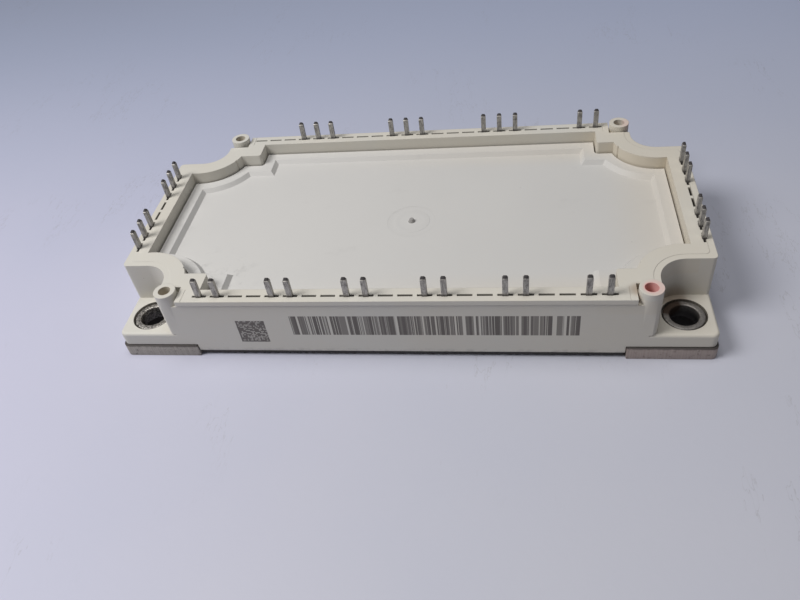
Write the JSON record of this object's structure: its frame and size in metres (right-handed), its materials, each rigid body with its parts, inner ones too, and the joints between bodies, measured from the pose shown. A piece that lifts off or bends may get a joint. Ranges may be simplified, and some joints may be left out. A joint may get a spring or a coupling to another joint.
{
  "type": "igbt module",
  "caption": "Flat power transistor module: rectangular ivory frame with a recessed lid, four corner mounting ears, board posts and solder pins along all four sides.",
  "frame": {"origin": "centre of the baseplate's underside", "axes": "+X along the long side, +Y towards the side with three pin groups of three, +Z out of the lid, the way the pins point"},
  "size_m": [0.122, 0.062, 0.0205],
  "materials": {
    "housing_plastic": "moulded glass-filled polymer, warm ivory, slightly yellowed",
    "lid_plastic": "moulded polymer, pale ivory, satin",
    "plated_base": "nickel-plated copper, satin",
    "plated_steel": "plated, with a little rust",
    "tinned_pin": "tinned copper, satin",
    "adhesive": "silicone adhesive",
    "gel": "clear soft silicone gel",
    "ceramic": "alumina",
    "copper": "bare copper",
    "solder": "solder",
    "silicon": "metallised silicon die",
    "silicon_light": "metallised silicon die",
    "bond_wire": "aluminium wire",
    "thermistor": "chip thermistor"
  },
  "bodies": {
    "root": {"housing_frame": "housing_plastic", "lid": "lid_plastic", "baseplate": "plated_base", "adhesive_seal": "adhesive", "silicone_gel": "gel", "bushing_front_left": "plated_steel", "bushing_front_right": "plated_steel", "bushing_back_left": "plated_steel", "bushing_back_right": "plated_steel", "thermistor": "thermistor", "thermistor_pins": "tinned_pin", "plus_pins_left": "tinned_pin", "minus_pins_left": "tinned_pin", "plus_pins_right": "tinned_pin", "minus_pins_right": "tinned_pin", "gate_pins_1": "tinned_pin", "gate_pins_2": "tinned_pin", "gate_pins_3": "tinned_pin", "gate_pins_4": "tinned_pin", "gate_pins_5": "tinned_pin", "gate_pins_6": "tinned_pin", "phase_pins_u": "tinned_pin", "phase_pins_v": "tinned_pin", "phase_pins_w": "tinned_pin", "ceramic_u": "ceramic", "ceramic_v": "ceramic", "ceramic_w": "ceramic", "top_copper_u": "copper", "top_copper_v": "copper", "top_copper_w": "copper", "bottom_copper_u": "copper", "bottom_copper_v": "copper", "bottom_copper_w": "copper", "solder_layer_u": "solder", "solder_layer_v": "solder", "solder_layer_w": "solder", "igbt_high_u": "silicon", "igbt_high_v": "silicon", "igbt_high_w": "silicon", "igbt_low_u": "silicon", "igbt_low_v": "silicon", "igbt_low_w": "silicon", "diode_high_u": "silicon_light", "diode_high_v": "silicon_light", "diode_high_w": "silicon_light", "diode_low_u": "silicon_light", "diode_low_v": "silicon_light", "diode_low_w": "silicon_light", "chip_wires_u": "bond_wire", "chip_wires_v": "bond_wire", "chip_wires_w": "bond_wire", "pin_wires_u": "bond_wire", "pin_wires_v": "bond_wire", "pin_wires_w": "bond_wire"}
  },
  "joints": []
}
